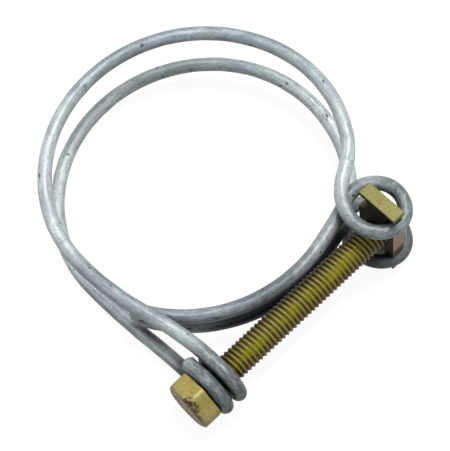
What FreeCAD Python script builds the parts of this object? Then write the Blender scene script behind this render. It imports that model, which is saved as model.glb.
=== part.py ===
import FreeCAD, Part
import Sketcher
import math
import os

# Double-wire hose clamp, in millimetres. The hose axis is +Z through the origin and the ring's
# middle plane is z = 0. The screw lies along +X below the ring, with its head at -X.

# Driving sizes: name, value, what it is
SIZES = (
    ("wire_diameter", 3.0, "Round wire of the band"),
    ("ring_radius", 30.5, "Hose axis to the centreline of the wire round the hose"),
    ("strand_gap", 9.3, "Clear space between both strands round the hose"),
    ("splay_angle", 35.0, "Ring angle where the strands start to spread, degrees"),
    ("leave_angle", 26.0, "Strands leave the ring this far before the nut loops, degrees"),
    ("screw_inset", 0.7, "Ring centreline to the near side of the screw"),
    ("screw_diameter", 6.0, "Outside diameter of the screw thread"),
    ("screw_length", 50.0, "Screw from the head's bearing face to its end"),
    ("screw_tip_chamfer", 0.6, "Chamfer on the end of the screw"),
    ("screw_protrusion", 0.1, "Screw end past the nut"),
    ("head_across_flats", 10.0, "Hexagon head across flats"),
    ("head_height", 4.1, "Hexagon head along the screw"),
    ("head_face_diameter", 8.8, "Round outer face left by the head's chamfer"),
    ("head_chamfer_angle", 30.0, "Slope of the head's chamfer, degrees"),
    ("head_turn_angle", 13.0, "Turn of the hexagon about the screw from a corner up, degrees"),
    ("eyelet_inset", 1.5, "Ring's outermost centreline to the eyelet beside the head"),
    ("eyelet_gap", 0.5, "Clear space between both eyelets"),
    ("eyelet_clearance", 0.15, "Screw to the inside of an eyelet, on the radius"),
    ("upper_wrap_angle", 280.0, "Turn of the upper strand round the screw, degrees"),
    ("lower_wrap_angle", 192.0, "Turn of the lower strand round the screw, degrees"),
    ("lower_tail", 4.8, "Straight end of the lower strand past its turn"),
    ("head_seat", 0.25, "Head's bearing face to the eyelet beside it"),
    ("end_rounding", 0.5, "Rounding of the wire's cut ends"),
    ("nut_width", 9.2, "Bar nut across the screw, square to the hose axis"),
    ("nut_length", 22.7, "Bar nut along the hose axis"),
    ("nut_thickness", 3.0, "Bar nut along the screw"),
    ("nut_body_length", 11.2, "Full-width middle of the bar nut"),
    ("nut_flange", 1.06, "Thickness of the flange at each end of the bar nut"),
    ("nut_neck_width", 4.8, "Bar nut between its notches"),
    ("nut_notch_rounding", 0.6, "Inner corners of the notches"),
    ("nut_edge_rounding", 0.25, "Outer edges of the bar nut"),
    ("hole_chamfer", 0.3, "Chamfer at both mouths of the tapped hole"),
    ("thread_clearance", 0.05, "Screw to the nut's thread, on the radius"),
    ("loop_length", 9.8, "Inside of a nut loop across the screw"),
    ("loop_width", 7.6, "Inside of a nut loop along the screw"),
    ("loop_start_angle", 218.0, "Wire joins its nut loop this far past the loop's bearing, degrees"),
    ("loop_turn_angle", 313.0, "Turn of the wire round the nut, degrees"),
    ("loop_level_angle", 165.0, "Part of that turn that stays level, degrees"),
    ("lower_loop_shift", 0.4, "Lower nut loop further along the screw than the upper one"),
    ("neck_clearance", 0.2, "Corner of the nut's neck to the wire of its loop"),
    ("notch_clearance", 0.25, "Middle of the nut to the wire in the notch"),
    ("crossing_gap", 1.05, "Clear space where the wire passes under itself"),
    ("tongue_start_angle", 13.8, "Wire joins the tongue this far past the nut loops, degrees"),
    ("tongue_end_angle", 149.5, "Tongue's folded tip, clockwise from the +X axis, degrees"),
    ("tongue_shift", 1.3, "Tongue's centre beside the hose axis, towards the head"),
    ("tongue_lift", 0.3, "Tongue's centre above the hose axis, away from the screw"),
    ("fold_gap", 1.7, "Clear space inside the fold at the tongue's tip"),
)

# Stretches that the formula curves are cut into, each then drawn by two tangent arcs
SPLAY_STEPS = 2
LOOP_STEPS = 5
TONGUE_STEPS = 2


def make_sheet(doc):
    """Write the driving sizes into a spreadsheet, one alias to a row."""
    sheet = doc.addObject("Spreadsheet::Sheet", "sizes")
    for row, (name, value, meaning) in enumerate(SIZES, start=1):
        sheet.set(f"A{row}", meaning)
        sheet.set(f"B{row}", str(value))
        sheet.setAlias(f"B{row}", name)
    doc.recompute()
    return sheet


def ease(share):
    """Smooth step from 0 to 1."""
    share = min(max(share, 0.0), 1.0)
    return share * share * (3.0 - 2.0 * share)


def polar(radius, degrees, height=0.0, centre=(0.0, 0.0)):
    """Point on a level circle."""
    angle = math.radians(degrees)
    return FreeCAD.Vector(
        centre[0] + radius * math.cos(angle), centre[1] + radius * math.sin(angle), height)


def clockwise(degrees):
    """Direction of clockwise travel at this angle of a level circle, seen from above."""
    angle = math.radians(degrees)
    return FreeCAD.Vector(math.sin(angle), -math.cos(angle), 0.0)


def arc_through(start, middle, end):
    return Part.Arc(start, middle, end).toShape()


def arc_from(start, direction, end):
    """Arc from start to end that sets off along the unit direction."""
    chord = end - start
    along = FreeCAD.Vector(chord).normalize()
    aside = direction - along * direction.dot(along)
    if aside.Length < 1e-6:
        return Part.LineSegment(start, end).toShape()
    half_turn = math.asin(min(aside.Length, 1.0))
    bulge = chord.Length / 2.0 * math.tan(half_turn / 2.0)
    return arc_through(start, start + chord * 0.5 + aside.normalize() * bulge, end)


def two_arcs(start, start_direction, end, end_direction):
    """Two tangent arcs that join two points and keep both unit directions."""
    gap = end - start
    both = start_direction + end_direction
    bend = 1.0 - start_direction.dot(end_direction)
    if bend < 1e-9:
        lead = gap.dot(gap) / (2.0 * gap.dot(both))
    else:
        reach = gap.dot(both)
        lead = (math.sqrt(reach * reach + 2.0 * bend * gap.dot(gap)) - reach) / (2.0 * bend)
    knee = (start + start_direction * lead + end - end_direction * lead) * 0.5
    first = arc_from(start, start_direction, knee)
    middle_direction = (knee - start - start_direction * lead).normalize()
    return [first, arc_from(knee, middle_direction, end)]


def arc_chain(stations):
    """Tangent arcs through a list of (point, unit direction) stations."""
    edges = []
    for (start, start_direction), (end, end_direction) in zip(stations, stations[1:]):
        edges += two_arcs(start, start_direction, end, end_direction)
    return edges


def stations_of(curve, steps):
    """Evenly spaced points of a curve over 0 to 1, each with its direction of travel."""
    tiny = 1e-5
    stations = []
    for step in range(steps + 1):
        share = step / steps
        travel = curve(share + tiny) - curve(share - tiny)
        stations.append((curve(share), travel.normalize()))
    return stations


class Layout:
    """Places worked out once from the driving sizes."""

    def __init__(self, sheet):
        for name, _, _ in SIZES:
            setattr(self, name, float(sheet.get(name)))
        wire = self.wire_diameter
        self.wire_radius = wire / 2.0
        self.screw_y = -(self.ring_radius + self.screw_inset + self.screw_diameter / 2.0)
        self.eyelet_radius = self.screw_diameter / 2.0 + self.eyelet_clearance + self.wire_radius
        self.lower_eyelet_x = self.eyelet_inset - self.ring_radius
        self.upper_eyelet_x = self.lower_eyelet_x + wire + self.eyelet_gap
        self.head_x = self.lower_eyelet_x - self.wire_radius - self.head_seat
        self.nut_x = self.head_x + self.screw_length - self.screw_protrusion - self.nut_thickness / 2.0
        self.ring_height = (self.strand_gap + wire) / 2.0
        self.loop_height = self.nut_body_length / 2.0 + self.notch_clearance + self.wire_radius
        self.root_height = self.loop_height - wire - self.crossing_gap
        self.tip_height = (self.fold_gap + wire) / 2.0
        self.loop_half_x = self.loop_width / 2.0 + self.wire_radius
        self.loop_half_y = self.loop_length / 2.0 + self.wire_radius
        neck_side = self.screw_y - self.nut_neck_width / 2.0 - self.neck_clearance
        bow = math.sqrt(1.0 - (self.nut_thickness / self.loop_width) ** 2)
        self.loop_centre = (self.nut_x, neck_side + self.loop_length / 2.0 * bow)
        bearing = math.degrees(math.atan2(self.loop_centre[1], self.loop_centre[0]))
        self.leave_at = bearing + self.leave_angle
        self.loop_start_at = bearing + self.loop_start_angle
        self.tongue_start_at = bearing - self.tongue_start_angle
        self.tongue_centre = (-self.tongue_shift, self.tongue_lift)

    def loop_point(self, degrees, height):
        """Point on the oval round the nut's neck."""
        angle = math.radians(degrees)
        shift = self.lower_loop_shift if height < 0.0 else 0.0
        return FreeCAD.Vector(
            self.loop_centre[0] + shift + self.loop_half_x * math.cos(angle),
            self.loop_centre[1] + self.loop_half_y * math.sin(angle),
            height)


def eyelet(layout, side, x, wrap, tail):
    """Open ring round the screw, from the wire's cut end to the run's start."""
    centre = FreeCAD.Vector(x, layout.screw_y, 0.0)

    def at(degrees):
        angle = math.radians(degrees)
        reach = FreeCAD.Vector(0.0, -math.sin(angle), side * math.cos(angle))
        return centre + reach * layout.eyelet_radius

    edges = [arc_through(at(wrap), at(wrap / 2.0), at(0.0))]
    if tail > 0.0:
        angle = math.radians(wrap)
        onward = FreeCAD.Vector(0.0, -math.cos(angle), -side * math.sin(angle))
        edges.insert(0, Part.LineSegment(at(wrap) + onward * tail, at(wrap)).toShape())
    return edges


def run(layout, side, x):
    """Gentle S from the top of an eyelet to the side of the ring."""
    start = FreeCAD.Vector(x, layout.screw_y, side * layout.eyelet_radius)
    end = polar(layout.ring_radius, 180.0, side * layout.ring_height)
    up = FreeCAD.Vector(0.0, 1.0, 0.0)
    return two_arcs(start, up, end, up)


def ring_arc(layout, side):
    """Level part of a strand round the hose."""
    height = side * layout.ring_height
    middle = (180.0 + layout.splay_angle) / 2.0
    return arc_through(*(
        polar(layout.ring_radius, angle, height) for angle in (180.0, middle, layout.splay_angle)))


def between(start, end, share):
    return start + (end - start) * share


def nut_end(layout, side):
    """Strand from the ring, round one notch of the nut, to the tongue's folded tip."""

    def splay(share):
        angle = between(layout.splay_angle, layout.leave_at, share)
        height = between(layout.ring_height, layout.loop_height, ease(share))
        return polar(layout.ring_radius, angle, side * height)

    def loop(share):
        turn = layout.loop_turn_angle * share
        falling_turn = layout.loop_turn_angle - layout.loop_level_angle
        fall = ease((turn - layout.loop_level_angle) / falling_turn)
        height = between(layout.loop_height, layout.root_height, fall)
        return layout.loop_point(layout.loop_start_at + turn, side * height)

    def tongue(share):
        angle = between(layout.tongue_start_at, -layout.tongue_end_angle, share)
        height = between(layout.root_height, layout.tip_height, ease(share))
        return polar(layout.ring_radius, angle, side * height, layout.tongue_centre)

    return arc_chain(
        stations_of(splay, SPLAY_STEPS)
        + stations_of(loop, LOOP_STEPS)
        + stations_of(tongue, TONGUE_STEPS))


def fold(layout):
    """Half circle that joins both wires at the tongue's tip."""
    upper = polar(
        layout.ring_radius, -layout.tongue_end_angle, layout.tip_height, layout.tongue_centre)
    lower = FreeCAD.Vector(upper.x, upper.y, -upper.z)
    tip = FreeCAD.Vector(upper.x, upper.y, 0.0) + clockwise(-layout.tongue_end_angle) * layout.tip_height
    return arc_through(upper, tip, lower)


def wire_route(layout):
    """Centreline of the whole wire, from one cut end to the other."""
    edges = []
    ends = (
        (1, layout.upper_eyelet_x, layout.upper_wrap_angle, 0.0),
        (-1, layout.lower_eyelet_x, layout.lower_wrap_angle, layout.lower_tail))
    for side, x, wrap, tail in ends:
        strand = eyelet(layout, side, x, wrap, tail)
        strand += run(layout, side, x)
        strand += [ring_arc(layout, side)]
        strand += nut_end(layout, side)
        if side > 0:
            edges += strand + [fold(layout)]
        else:
            edges += reversed(strand)
    return Part.Wire(Part.__sortEdges__(edges))


def make_wire_band(doc, layout):
    """Sweep the round wire along its route and round its cut ends."""
    route = doc.addObject("Part::Feature", "wire_centreline")
    route.Shape = wire_route(layout)
    first = route.Shape.OrderedEdges[0]
    section = doc.addObject("Part::Circle", "wire_section")
    section.setExpression("Radius", "sizes.wire_diameter / 2")
    direction = first.tangentAt(first.FirstParameter)
    section.Placement = FreeCAD.Placement(
        first.valueAt(first.FirstParameter),
        FreeCAD.Rotation(FreeCAD.Vector(0.0, 0.0, 1.0), direction))
    sweep = doc.addObject("Part::Sweep", "wire_sweep")
    sweep.Sections = [section]
    sweep.Spine = (route, [f"Edge{i + 1}" for i in range(len(route.Shape.Edges))])
    sweep.Solid = True
    sweep.Frenet = False
    doc.recompute()
    band = doc.addObject("Part::Fillet", "wire_band")
    band.Base = sweep
    band.Edges = [
        (number, layout.end_rounding, layout.end_rounding)
        for number, edge in enumerate(sweep.Shape.Edges, start=1)
        if any(
            len(face.Edges) == 1 and face.Edges[0].isSame(edge) for face in sweep.Shape.Faces)]
    return band


def origin_feature(body, role):
    return next(feature for feature in body.Origin.OriginFeatures if feature.Role == role)


def add_sketch(body, name, role):
    """Sketch on one of the body's own origin planes."""
    sketch = body.newObject("Sketcher::SketchObject", name)
    sketch.AttachmentSupport = (origin_feature(body, role), [""])
    sketch.MapMode = "FlatFace"
    return sketch


def bind(sketch, constraint, formula):
    """Add a dimension to a sketch and tie it to the sheet."""
    number = sketch.addConstraint(constraint)
    sketch.setExpression(f"Constraints[{number}]", formula)


def add_circle(sketch, diameter):
    """Circle about the sketch's origin."""
    circle = Part.Circle(FreeCAD.Vector(0, 0, 0), FreeCAD.Vector(0, 0, 1), 1.0)
    index = sketch.addGeometry(circle)
    sketch.addConstraint(Sketcher.Constraint("Coincident", index, 3, -1, 1))
    bind(sketch, Sketcher.Constraint("Diameter", index, 2.0 * circle.Radius), diameter)


def add_polygon(sketch, corners):
    """Closed outline whose corners are tied to the sheet by their two coordinates."""
    count = len(corners)
    first = sketch.GeometryCount
    ring = [polar(3.0, 360.0 * index / count, 0.0, (9.0, 9.0)) for index in range(count)]
    for index in range(count):
        sketch.addGeometry(Part.LineSegment(ring[index], ring[(index + 1) % count]))
    for index in range(count):
        following = first + (index + 1) % count
        sketch.addConstraint(Sketcher.Constraint("Coincident", first + index, 2, following, 1))
    for index, (across, up) in enumerate(corners):
        line = first + index
        bind(sketch, Sketcher.Constraint("DistanceX", -1, 1, line, 1, ring[index].x), across)
        bind(sketch, Sketcher.Constraint("DistanceY", -1, 1, line, 1, ring[index].y), up)


def add_hexagon(sketch, across_flats):
    """Regular hexagon about the origin, with a corner near the sketch's vertical axis."""
    reach = f"{across_flats} / 2 / cos(30 deg)"
    angles = [
        f"({90 + 60 * index} deg + sizes.head_turn_angle * 1 deg)" for index in range(6)]
    add_polygon(sketch, [(f"{reach} * cos{angle}", f"{reach} * sin{angle}") for angle in angles])


def add_pad(body, name, sketch, length, side="One side", reverse=False):
    pad = body.newObject("PartDesign::Pad", name)
    pad.Profile = sketch
    pad.SideType = side
    pad.Reversed = reverse
    pad.setExpression("Length", length)
    return pad


def add_through_pocket(body, name, sketch):
    """Cut the sketch's outline through the body on both sides of its plane."""
    pocket = body.newObject("PartDesign::Pocket", name)
    pocket.Profile = sketch
    pocket.SideType = "Symmetric"
    pocket.Type = "ThroughAll"
    return pocket


def check_cut(doc, body, volume_before, name):
    """Stop if the newest cut took nothing away."""
    doc.recompute()
    if body.Shape.Volume > volume_before - 1e-3:
        raise RuntimeError(f"{name} cut nothing")


def edges_where(shape, wanted):
    """Names of the edges that pass the test."""
    return [f"Edge{number}" for number, edge in enumerate(shape.Edges, start=1) if wanted(edge)]


def lies_at(edge, axis, distance):
    """True if the edge stays at this distance from the plane square to the axis."""
    return all(
        abs(abs(getattr(vertex.Point, axis)) - distance) < 1e-6 for vertex in edge.Vertexes)


def make_hex_bolt(doc, layout):
    """Hexagon head screw, its head turned as it was left by the spanner."""
    body = doc.addObject("PartDesign::Body", "hex_bolt")
    shank_circle = add_sketch(body, "shank_circle", "YZ_Plane")
    add_circle(shank_circle, "sizes.screw_diameter")
    add_pad(body, "shank", shank_circle, "sizes.screw_length")
    hexagon = add_sketch(body, "head_hexagon", "YZ_Plane")
    add_hexagon(hexagon, "sizes.head_across_flats")
    add_pad(body, "head", hexagon, "sizes.head_height", reverse=True)
    doc.recompute()
    volume = body.Shape.Volume

    bevel_profile = add_sketch(body, "head_bevel_profile", "XZ_Plane")
    rim = "sizes.head_face_diameter / 2"
    outside = "sizes.head_across_flats"
    depth = f"({outside} - {rim}) * tan(sizes.head_chamfer_angle * 1 deg)"
    add_polygon(bevel_profile, [
        ("-sizes.head_height", rim),
        ("-sizes.head_height", outside),
        (f"-sizes.head_height + {depth}", outside),
    ])
    bevel = body.newObject("PartDesign::Groove", "head_bevel")
    bevel.Profile = bevel_profile
    bevel.ReferenceAxis = (origin_feature(body, "X_Axis"), [""])
    bevel.Angle = 360.0
    check_cut(doc, body, volume, "the head's bevel")

    volume = body.Shape.Volume
    tip = body.newObject("PartDesign::Chamfer", "screw_tip")
    tip.Base = (bevel, edges_where(
        bevel.Shape, lambda edge: lies_at(edge, "x", layout.screw_length)))
    tip.setExpression("Size", "sizes.screw_tip_chamfer")
    check_cut(doc, body, volume, "the screw's tip chamfer")
    body.Placement.Base = FreeCAD.Vector(layout.head_x, layout.screw_y, 0.0)
    return body


def make_bar_nut(doc, layout):
    """Flat bar with a tapped hole, and a notch on both sides near each end."""
    body = doc.addObject("PartDesign::Body", "bar_nut")
    half_width = "sizes.nut_width / 2"
    half_length = "sizes.nut_length / 2"
    outline = add_sketch(body, "bar_outline", "YZ_Plane")
    add_polygon(outline, [
        (half_width, half_length),
        (f"-{half_width}", half_length),
        (f"-{half_width}", f"-{half_length}"),
        (half_width, f"-{half_length}"),
    ])
    add_pad(body, "bar", outline, "sizes.nut_thickness", side="Symmetric")
    doc.recompute()
    volume = body.Shape.Volume

    notches = add_sketch(body, "notch_outlines", "YZ_Plane")
    start = "sizes.nut_body_length / 2"
    end = f"{half_length} - sizes.nut_flange"
    neck = "sizes.nut_neck_width / 2"
    for sign in ("", "-"):
        add_polygon(notches, [
            (f"{sign}({neck})", start),
            (f"{sign}sizes.nut_width", start),
            (f"{sign}sizes.nut_width", end),
            (f"{sign}({neck})", end),
        ])
    notch = add_through_pocket(body, "notches", notches)
    check_cut(doc, body, volume, "the first pair of notches")

    volume = body.Shape.Volume
    mirrored = body.newObject("PartDesign::Mirrored", "mirrored_notches")
    mirrored.Originals = [notch]
    mirrored.MirrorPlane = (origin_feature(body, "XY_Plane"), [""])
    body.Tip = mirrored
    check_cut(doc, body, volume, "the second pair of notches")

    volume = body.Shape.Volume
    hole_circle = add_sketch(body, "hole_circle", "YZ_Plane")
    add_circle(hole_circle, "sizes.screw_diameter + 2 * sizes.thread_clearance")
    hole = add_through_pocket(body, "tapped_hole", hole_circle)
    check_cut(doc, body, volume, "the tapped hole")

    mouths = body.newObject("PartDesign::Chamfer", "hole_mouths")
    mouths.Base = (hole, edges_where(
        hole.Shape, lambda edge: isinstance(edge.Curve, Part.Circle)))
    mouths.setExpression("Size", "sizes.hole_chamfer")
    doc.recompute()

    neck_side = layout.nut_neck_width / 2.0
    notch_start = layout.nut_body_length / 2.0
    notch_end = layout.nut_length / 2.0 - layout.nut_flange
    corners = body.newObject("PartDesign::Fillet", "notch_corners")
    corners.Base = (mouths, edges_where(
        mouths.Shape, lambda edge: lies_at(edge, "y", neck_side)
        and (lies_at(edge, "z", notch_start) or lies_at(edge, "z", notch_end))))
    corners.setExpression("Radius", "sizes.nut_notch_rounding")
    doc.recompute()

    rims = body.newObject("PartDesign::Fillet", "end_rims")
    rims.Base = (corners, edges_where(
        corners.Shape, lambda edge: lies_at(edge, "z", layout.nut_length / 2.0)))
    rims.setExpression("Radius", "sizes.nut_edge_rounding")
    body.Placement.Base = FreeCAD.Vector(layout.nut_x, layout.screw_y, 0.0)
    return body


def check_document(doc, nodes):
    """Stop before anything is written if a feature failed or a solid is bad."""
    for item in doc.Objects:
        if "Invalid" in item.State or "Error" in item.State:
            raise RuntimeError(f"{item.Name} failed: {item.State}")
    for node in nodes:
        shape = node.Shape
        if shape.isNull() or not shape.isValid() or len(shape.Solids) != 1:
            raise RuntimeError(f"{node.Label} is not one valid solid")


def main():
    os.makedirs("parts", exist_ok=True)
    doc = FreeCAD.newDocument("wire_hose_clamp")
    layout = Layout(make_sheet(doc))
    nodes = [make_wire_band(doc, layout), make_hex_bolt(doc, layout), make_bar_nut(doc, layout)]
    doc.recompute()
    check_document(doc, nodes)
    for node in nodes:
        box = node.Shape.optimalBoundingBox()
        print(f"{node.Label}: {node.Shape.Volume:.1f} mm3, {len(node.Shape.Faces)} faces, {box}")
        node.Shape.exportStep(f"parts/{node.Label}.step")


main()
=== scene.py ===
"""Looks of a double-wire hose clamp: zinc-coated wire band, yellow-plated screw and bar nut.

The object's lengths are in millimetres, as in its construction; meshes and the stage are in metres.
"""
import logging
import math
from dataclasses import dataclass
from enum import Enum
from typing import Callable, Iterable, Union

import bpy
import numpy as np
from mathutils import Matrix, Vector


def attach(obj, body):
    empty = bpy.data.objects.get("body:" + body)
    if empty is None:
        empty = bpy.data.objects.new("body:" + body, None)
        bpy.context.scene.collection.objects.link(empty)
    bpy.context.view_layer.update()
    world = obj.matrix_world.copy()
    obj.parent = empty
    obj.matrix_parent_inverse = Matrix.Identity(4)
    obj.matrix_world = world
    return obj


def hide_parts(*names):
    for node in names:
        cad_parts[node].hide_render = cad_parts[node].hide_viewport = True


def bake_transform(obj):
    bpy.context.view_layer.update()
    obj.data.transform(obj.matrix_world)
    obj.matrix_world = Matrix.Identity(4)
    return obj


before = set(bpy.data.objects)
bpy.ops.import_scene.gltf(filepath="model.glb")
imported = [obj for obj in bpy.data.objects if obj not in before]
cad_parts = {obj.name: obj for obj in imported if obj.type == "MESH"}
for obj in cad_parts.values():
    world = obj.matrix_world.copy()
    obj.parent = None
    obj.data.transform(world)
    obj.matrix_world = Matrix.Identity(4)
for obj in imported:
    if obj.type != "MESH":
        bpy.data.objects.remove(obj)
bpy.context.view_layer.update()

LOG = logging.getLogger("clamp")
MM = 0.001
STRAIGHT = "straight"
REGIONS = "regions"

Point = np.ndarray
Triple = tuple[float, float, float]
Colour = tuple[float, float, float, float]
Operand = Union["Term", float, int]

WHITE: Colour = (1.0, 1.0, 1.0, 1.0)
SMOOTH = {"interpolation_type": "SMOOTHSTEP"}
SHARP_EDGE = 32.0
TINY = 1e-5


class Side(Enum):
    """The two strands of the band, named by where they lie along the hose."""

    UPPER = 1.0
    LOWER = -1.0


class Body(Enum):
    """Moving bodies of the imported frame."""

    BAND = "band"
    SCREW = "screw"
    NUT = "nut"


def colour(code: str) -> Colour:
    """Turn a written sRGB colour into the linear values that sockets take.

    Args:
        code: Six hexadecimal digits.

    Returns:
        Linear red, green, blue and a full alpha.
    """
    parts = [int(code[place:place + 2], 16) / 255.0 for place in (0, 2, 4)]
    linear = [
        part / 12.92 if part <= 0.04045 else ((part + 0.055) / 1.055) ** 2.4 for part in parts]
    return (linear[0], linear[1], linear[2], 1.0)


def math_method(operation: str, swapped: bool = False) -> Callable[["Term", Operand], "Term"]:
    """Method of a term that adds one Math node.

    Args:
        operation: The node's operation.
        swapped: Whether the term is the second operand.

    Returns:
        The method.
    """
    def method(term: "Term", other: Operand) -> "Term":
        """Result of the Math node."""
        inputs = {0: other, 1: term} if swapped else {0: term, 1: other}
        return term.graph.node("ShaderNodeMath", {"operation": operation}, inputs).term("Value")

    return method


@dataclass(frozen=True)
class Term:
    """One socket of a node tree, with arithmetic that adds Math nodes."""

    graph: "Graph"
    socket: bpy.types.NodeSocket

    __add__ = math_method("ADD")
    __radd__ = math_method("ADD", swapped=True)
    __sub__ = math_method("SUBTRACT")
    __rsub__ = math_method("SUBTRACT", swapped=True)
    __mul__ = math_method("MULTIPLY")
    __rmul__ = math_method("MULTIPLY", swapped=True)
    at_least = math_method("MAXIMUM")

    def between(self, low: float, high: float) -> "Term":
        """Smooth step of this term from 0 at low to 1 at high, which may be below low."""
        inputs = {"Value": self, "From Min": low, "From Max": high}
        return self.graph.node("ShaderNodeMapRange", SMOOTH, inputs).term("Result")


@dataclass(frozen=True)
class Made:
    """A node just made, whose outputs are handed on as terms."""

    graph: "Graph"
    node: bpy.types.Node

    def term(self, output: Union[str, int]) -> Term:
        """One output of the node."""
        return Term(self.graph, self.node.outputs[output])


class Graph:
    """Node tree of a material or a world, built from Python expressions."""

    def __init__(self, owner: Union[bpy.types.Material, bpy.types.World]) -> None:
        """Empty the tree of a new material or world."""
        owner.use_nodes = True
        self.owner = owner
        self.tree = owner.node_tree
        self.tree.nodes.clear()

    def node(
        self, kind: str, settings: dict[str, object] | None = None,
        inputs: dict[Union[str, int], object] | None = None,
    ) -> Made:
        """Add a node, set it up and fill its sockets.

        Args:
            kind: Type of the node.
            settings: Properties by name, set before the sockets; "stops" fills a colour ramp.
            inputs: Values, colours as six digits or terms to link, by socket name or number.

        Returns:
            The node.
        """
        made = self.tree.nodes.new(kind)
        for name, value in (settings or {}).items():
            if name == "stops":
                self._fill_ramp(made.color_ramp, value)
            else:
                setattr(made, name, value)
        for name, value in (inputs or {}).items():
            socket = made.inputs[name]
            if isinstance(value, Term):
                self.tree.links.new(value.socket, socket)
            else:
                socket.default_value = colour(value) if isinstance(value, str) else value
        return Made(self, made)

    @staticmethod
    def _fill_ramp(ramp: bpy.types.ColorRamp, stops: Iterable[tuple[float, str]]) -> None:
        """Put the stops on a colour ramp.

        Args:
            ramp: The ramp, fresh from its node.
            stops: Position and colour of each stop, from low to high.
        """
        for index, (position, tint) in enumerate(stops):
            if index < len(ramp.elements):
                stop = ramp.elements[index]
                stop.position = position
            else:
                stop = ramp.elements.new(position)
            stop.color = colour(tint)

    def place(self) -> Term:
        """Position in the object's own space, in metres."""
        return self.node("ShaderNodeTexCoord").term("Object")

    def stored(self, name: str) -> Term:
        """Vector stored on the mesh under this name."""
        settings = {"attribute_name": name, "attribute_type": "GEOMETRY"}
        return self.node("ShaderNodeAttribute", settings).term("Vector")

    def vector(self, operation: str, *vectors: object) -> Term:
        """Vector Math, whose result is a number for a dot product and a length."""
        number = operation in ("DOT_PRODUCT", "LENGTH")
        made = self.node("ShaderNodeVectorMath", {"operation": operation}, dict(enumerate(vectors)))
        return made.term("Value" if number else "Vector")

    def axis(self, vector: Term, name: str) -> Term:
        """One component of a vector, X, Y or Z."""
        return self.node("ShaderNodeSeparateXYZ", {}, {0: vector}).term(name)

    def noise(self, place: Term, size_mm: float, detail: float = 3.0, rough: float = 0.55) -> Term:
        """Soft noise from 0 to 1, with finer octaves that each add a share of the one before."""
        inputs = {
            "Vector": place, "Scale": 1.0 / (size_mm * MM), "Detail": detail, "Roughness": rough}
        return self.node("ShaderNodeTexNoise", {}, inputs).term("Fac")

    def cells(self, place: Term, size_mm: float) -> Term:
        """Grey from 0 to 1 that is even in each cell of a crystal pattern."""
        inputs = {"Vector": place, "Scale": 1.0 / (size_mm * MM)}
        return self.axis(self.node("ShaderNodeTexVoronoi", {}, inputs).term("Color"), "X")

    def mix(self, share: Operand, first: object, second: object, kind: str = "MIX") -> Term:
        """Blend of two colours or terms: the first at a share of 0, the second at 1."""
        settings = {"data_type": "RGBA", "blend_type": kind}
        return self.node("ShaderNodeMix", settings, {0: share, 6: first, 7: second}).term(2)

    def shade(self, share: Operand, first: Term, tint: str) -> Term:
        """Colour darkened by a share of a tint that it is multiplied with."""
        return self.mix(share, first, tint, "MULTIPLY")

    def ramp(self, share: Term, stops: Iterable[tuple[float, str]]) -> Term:
        """Colour read off a ramp."""
        return self.node("ShaderNodeValToRGB", {"stops": list(stops)}, {0: share}).term("Color")

    def occlusion_shade(self, reach_mm: float) -> Term:
        """How hidden a place is by what stands within reach, 0 in the open and 1 in a deep gap; the
        finishes use it to paint shade into gaps.
        """
        sky = self.node("ShaderNodeAmbientOcclusion", {"samples": 8}, {"Distance": reach_mm * MM})
        return (1.0 - sky.term("AO")).between(0.15, 0.85)

    def bump(self, height: Term, depth_mm: float, strength: float) -> Term:
        """Normal of a surface raised by the height, where 1 stands for the depth."""
        inputs = {"Height": height, "Distance": depth_mm * MM, "Strength": strength}
        return self.node("ShaderNodeBump", {}, inputs).term("Normal")

    def finish(self, **sockets: object) -> bpy.types.Material:
        """Feed the surface shader and close the material.

        Args:
            **sockets: Values or terms of the shader by socket name, with _ for a space.

        Returns:
            The material.
        """
        inputs = {name.replace("_", " "): value for name, value in sockets.items()}
        shader = self.node("ShaderNodeBsdfPrincipled", {}, inputs).term(0)
        self.node("ShaderNodeOutputMaterial", {}, {"Surface": shader})
        return self.owner


@dataclass(frozen=True)
class Slope:
    """Smooth step across a piece, along a direction from the frame's origin."""

    direction: Triple
    start: float
    full: float

    def rise(self, graph: Graph, place: Term) -> Term:
        """How far up the step a place lies: 0 before the start, 1 from the full distance on."""
        distance = graph.vector("DOT_PRODUCT", place, self.direction)
        return distance.between(self.start * MM, self.full * MM)


@dataclass(frozen=True)
class Zone(Slope):
    """Part of a piece past a plane, in a colour of its own; used for plating tints and for painted
    shade.
    """

    tint: str
    share: float = 1.0

    def mask(self, graph: Graph, place: Term) -> Term:
        """How far a place lies in the zone: 0 outside it, its share inside."""
        return self.rise(graph, place) * self.share


@dataclass(frozen=True)
class Spot:
    """Uneven round mark at one place on a piece; used for stains and for a patch of painted shade.
    """

    centre: Triple
    reach: float
    tint: str
    share: float
    fray: float = 2.6

    def mask(self, graph: Graph, place: Term, rough: Term) -> Term:
        """How far a place lies in the stain.

        Args:
            graph: The material's graph.
            place: Position in metres.
            rough: Noise that frays the stain's edge.

        Returns:
            0 outside the stain, its share inside.
        """
        middle = tuple(value * MM for value in self.centre)
        away = graph.vector("LENGTH", graph.vector("SUBTRACT", place, middle))
        inside = 1.0 - away * (1.0 / (self.reach * MM)) + (rough - 0.5) * self.fray
        return inside.between(0.0, 0.7) * self.share


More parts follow.
